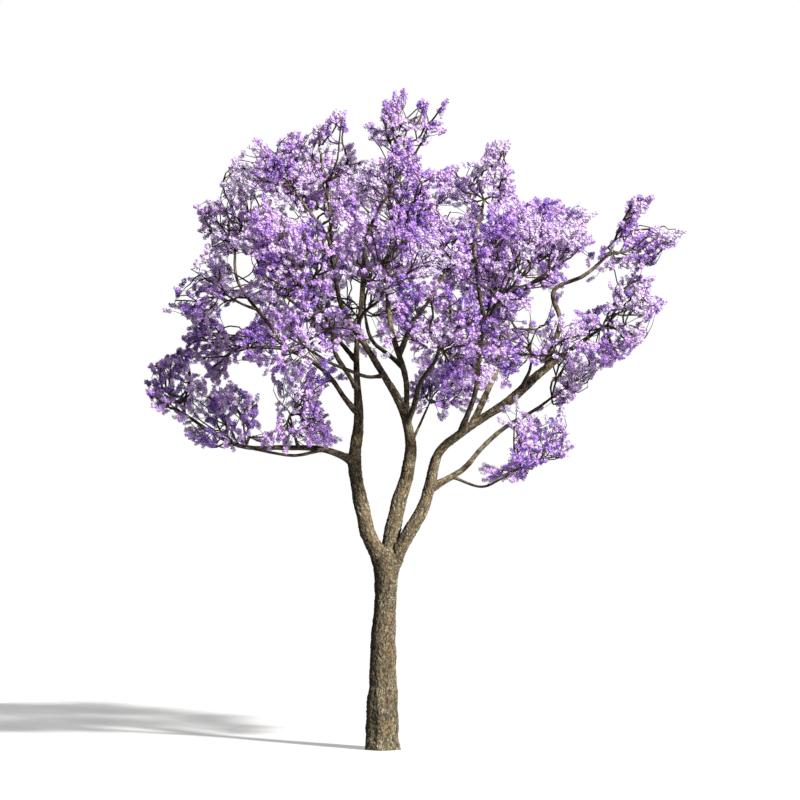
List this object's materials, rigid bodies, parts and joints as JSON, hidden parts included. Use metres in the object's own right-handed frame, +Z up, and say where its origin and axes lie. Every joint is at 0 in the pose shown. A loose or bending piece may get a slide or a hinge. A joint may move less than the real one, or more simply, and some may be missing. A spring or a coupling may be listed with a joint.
{
  "type": "jacaranda tree",
  "caption": "Flowering jacaranda tree with a straight trunk, a forked wide crown of tapering boughs and masses of violet blossom.",
  "frame": {"origin": "middle of the trunk's flat cut at ground level", "axes": "+Z up the trunk, +X to the right of the picture, +Y away from its camera"},
  "size_m": [9.8366, 7.0728, 11.9977],
  "materials": {
    "bark": "rough fissured bark",
    "blossom": "soft matt petals"
  },
  "bodies": {
    "root": {"trunk": "bark", "left_limb": "bark", "middle_limb": "bark", "right_limb": "bark", "low_left_bough": "bark", "under_left_bough": "bark", "hanging_left_bough": "bark", "left_bough": "bark", "left_upper_bough": "bark", "outer_left_bough": "bark", "left_front_bough": "bark", "top_left_bough": "bark", "back_left_bough": "bark", "centre_bough": "bark", "inner_back_bough": "bark", "right_inner_bough": "bark", "front_centre_bough": "bark", "under_centre_bough": "bark", "left_centre_bough": "bark", "back_bough": "bark", "lower_right_bough": "bark", "hanging_right_bough": "bark", "right_rising_bough": "bark", "right_back_bough": "bark", "upper_right_bough": "bark", "right_fork_bough": "bark", "low_front_right_bough": "bark", "front_right_bough": "bark", "front_bough": "bark", "back_upper_bough": "bark", "crest_mass": "blossom", "upper_left_mass": "blossom", "outer_right_mass": "blossom", "far_left_mass": "blossom", "low_left_mass": "blossom", "hanging_left_mass": "blossom", "left_mass": "blossom", "upper_outer_left_mass": "blossom", "outer_left_mass": "blossom", "left_front_mass": "blossom", "top_left_mass": "blossom", "back_left_mass": "blossom", "centre_top_mass": "blossom", "back_top_mass": "blossom", "right_inner_mass": "blossom", "front_centre_mass": "blossom", "under_centre_mass": "blossom", "front_left_mass": "blossom", "back_mass": "blossom", "lower_right_mass": "blossom", "hanging_right_mass": "blossom", "upper_right_mass": "blossom", "back_right_mass": "blossom", "top_right_mass": "blossom", "far_right_mass": "blossom", "low_front_right_mass": "blossom", "front_right_mass": "blossom", "front_mass": "blossom", "back_upper_mass": "blossom"}
  },
  "joints": []
}
